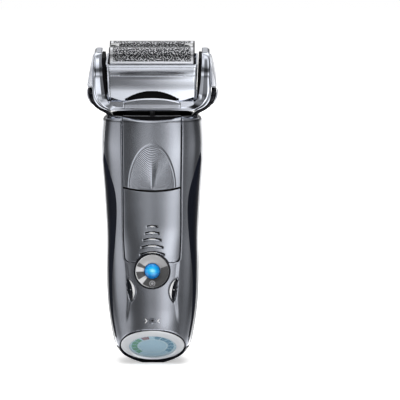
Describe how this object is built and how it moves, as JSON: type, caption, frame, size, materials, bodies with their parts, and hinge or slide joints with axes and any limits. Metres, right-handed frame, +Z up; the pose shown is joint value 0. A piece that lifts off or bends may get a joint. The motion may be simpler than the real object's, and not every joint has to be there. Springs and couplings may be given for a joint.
{
  "type": "electric shaver",
  "caption": "Cordless foil shaver with a waisted body, slanted charge display, tilting chrome head, lift-off foil cassette and a sliding long-hair trimmer.",
  "frame": {"origin": "under the foot, on the body's middle axis: the tilt axis stands straight above it", "axes": "+Z up along the body, -Y is the shaver's front with its display and buttons, +X to the right as seen from the front"},
  "size_m": [0.0666, 0.0366, 0.1631],
  "materials": {
    "shell_paint": "satin metallic lacquer on plastic",
    "black_plastic": "matt",
    "black_gloss": "glossy",
    "grip_rubber": "soft matt",
    "bright_trim": "bright chrome plating on plastic",
    "silver_ring": "satin silver lacquer on plastic",
    "spun_metal": "spun",
    "blue_button": "glossy",
    "side_buttons": "glossy with a bright inner half",
    "display_glass": "clear",
    "display_print": "printed segments",
    "inner_plastic": "matt",
    "cell_sleeve": "sleeved",
    "board": "satin",
    "steel": "brushed",
    "motor_iron": "laminated",
    "copper_wire": "enamelled",
    "chrome_trim": "polished chrome plating on plastic",
    "satin_chrome": "satin chrome plating on plastic",
    "foil_steel": "fine mesh",
    "holder_plastic": "satin with black ends",
    "comb_steel": "bright",
    "white_plastic": "matt"
  },
  "bodies": {
    "body": {"front_shell": "shell_paint", "lower_panel": "shell_paint", "back_shell": "black_plastic", "base_cap": "black_plastic", "neck_yoke": "black_gloss", "grip_left": "grip_rubber", "grip_right": "grip_rubber", "base_seal": "grip_rubber", "pin_seal": "grip_rubber", "side_rail_left": "bright_trim", "side_rail_right": "bright_trim", "display_bezel": "silver_ring", "dial_ring": "black_gloss", "dial_disc": "spun_metal", "display_window": "display_glass", "display_panel": "display_print", "chassis": "inner_plastic", "battery": "cell_sleeve", "circuit_board": "board", "tact_switches": "black_plastic", "housing_screws": "steel", "power_socket": "black_plastic", "socket_pins": "steel", "charging_contacts": "steel", "motor_core": "motor_iron", "motor_coil": "copper_wire", "leaf_springs": "steel", "pivot_pin_left": "steel", "pivot_pin_right": "steel"},
    "head": {"head_frame": "chrome_trim", "side_cover_left": "bright_trim", "side_cover_right": "bright_trim"},
    "cassette": {"cassette_frame": "satin_chrome"},
    "foil_unit_front": {"foil_front": "foil_steel", "foil_holder_front": "holder_plastic"},
    "foil_unit_rear": {"foil_rear": "foil_steel", "foil_holder_rear": "holder_plastic"},
    "comb_unit": {"middle_comb": "comb_steel"},
    "comb_blade": {"middle_blade": "steel"},
    "cutter_unit_front": {"cutter_front": "steel", "carrier_front": "white_plastic"},
    "cutter_unit_rear": {"cutter_rear": "steel", "carrier_rear": "white_plastic"},
    "motor_mover_front": {"mover_front": "motor_iron"},
    "motor_mover_rear": {"mover_rear": "motor_iron"},
    "release_left": {"release_button_left": "chrome_trim"},
    "release_right": {"release_button_right": "chrome_trim"},
    "power_key": {"power_button": "blue_button"},
    "minus_key": {"minus_button": "side_buttons"},
    "plus_key": {"plus_button": "side_buttons"},
    "reset_key": {"reset_button": "black_plastic"},
    "head_lock": {"thumb_slide": "shell_paint"},
    "long_trimmer": {"trimmer_carriage": "black_plastic", "trimmer_switch": "black_plastic", "trimmer_comb": "comb_steel"},
    "long_trimmer_blade": {"trimmer_blade": "steel"}
  },
  "joints": [
    {"name": "head_tilt", "type": "hinge", "parent": "body", "child": "head", "pos_m": [0, 0, 0.1353], "axis": [1, 0, 0], "range_deg": [-30, 10], "stiffness_Nm_per_rad": 0.05},
    {"name": "cassette_lift", "type": "slide", "parent": "head", "child": "cassette", "axis": [0, -0.1736, 0.9848], "range_m": [0, 0.03]},
    {"name": "foil_float_front", "type": "slide", "parent": "cassette", "child": "foil_unit_front", "axis": [0, -0.1736, 0.9848], "range_m": [-0.0015, 0], "stiffness_N_per_m": 200, "springref_m": 0.002},
    {"name": "foil_float_rear", "type": "slide", "parent": "cassette", "child": "foil_unit_rear", "axis": [0, -0.1736, 0.9848], "range_m": [-0.0015, 0], "stiffness_N_per_m": 200, "springref_m": 0.002},
    {"name": "comb_float", "type": "slide", "parent": "cassette", "child": "comb_unit", "axis": [0, -0.1736, 0.9848], "range_m": [-0.0015, 0], "stiffness_N_per_m": 200, "springref_m": 0.002},
    {"name": "motor_stroke", "type": "slide", "parent": "body", "child": "motor_mover_front", "axis": [1, 0, 0], "range_m": [-0.001, 0.001], "stiffness_N_per_m": 2000},
    {"name": "motor_return", "type": "slide", "parent": "body", "child": "motor_mover_rear", "axis": [1, 0, 0], "range_m": [-0.001, 0.001]},
    {"name": "cutter_stroke_front", "type": "slide", "parent": "foil_unit_front", "child": "cutter_unit_front", "axis": [1, 0, 0], "range_m": [-0.001, 0.001]},
    {"name": "cutter_stroke_rear", "type": "slide", "parent": "foil_unit_rear", "child": "cutter_unit_rear", "axis": [1, 0, 0], "range_m": [-0.001, 0.001]},
    {"name": "comb_blade_stroke", "type": "slide", "parent": "comb_unit", "child": "comb_blade", "axis": [1, 0, 0], "range_m": [-0.001, 0.001]},
    {"name": "release_press_left", "type": "slide", "parent": "body", "child": "release_left", "axis": [1, 0, 0], "range_m": [0, 0.0012], "stiffness_N_per_m": 400, "springref_m": -0.0008},
    {"name": "release_press_right", "type": "slide", "parent": "body", "child": "release_right", "axis": [-1, 0, 0], "range_m": [0, 0.0012], "stiffness_N_per_m": 400, "springref_m": -0.0008},
    {"name": "power_press", "type": "slide", "parent": "body", "child": "power_key", "axis": [0, 1, 0], "range_m": [0, 0.0005], "stiffness_N_per_m": 400, "springref_m": -0.0004},
    {"name": "minus_press", "type": "slide", "parent": "body", "child": "minus_key", "axis": [0, 1, 0], "range_m": [0, 0.0005], "stiffness_N_per_m": 400, "springref_m": -0.0004},
    {"name": "plus_press", "type": "slide", "parent": "body", "child": "plus_key", "axis": [0, 1, 0], "range_m": [0, 0.0005], "stiffness_N_per_m": 400, "springref_m": -0.0004},
    {"name": "reset_press", "type": "slide", "parent": "body", "child": "reset_key", "axis": [0, 1, 0], "range_m": [0, 0.0005], "stiffness_N_per_m": 400, "springref_m": -0.0004},
    {"name": "head_lock_slide", "type": "slide", "parent": "body", "child": "head_lock", "axis": [0, 0, 1], "range_m": [0, 0.003]},
    {"name": "trimmer_slide", "type": "slide", "parent": "body", "child": "long_trimmer", "axis": [0, 0, 1], "range_m": [0, 0.008]},
    {"name": "trimmer_blade_stroke", "type": "slide", "parent": "long_trimmer", "child": "long_trimmer_blade", "axis": [1, 0, 0], "range_m": [-0.0008, 0.0008], "stiffness_N_per_m": 500}
  ],
  "couplings": [
    {"joint": "motor_return", "follows": "motor_stroke", "ratio": -1},
    {"joint": "cutter_stroke_front", "follows": "motor_stroke", "ratio": 1},
    {"joint": "cutter_stroke_rear", "follows": "motor_stroke", "ratio": -1},
    {"joint": "comb_blade_stroke", "follows": "motor_stroke", "ratio": 1}
  ]
}
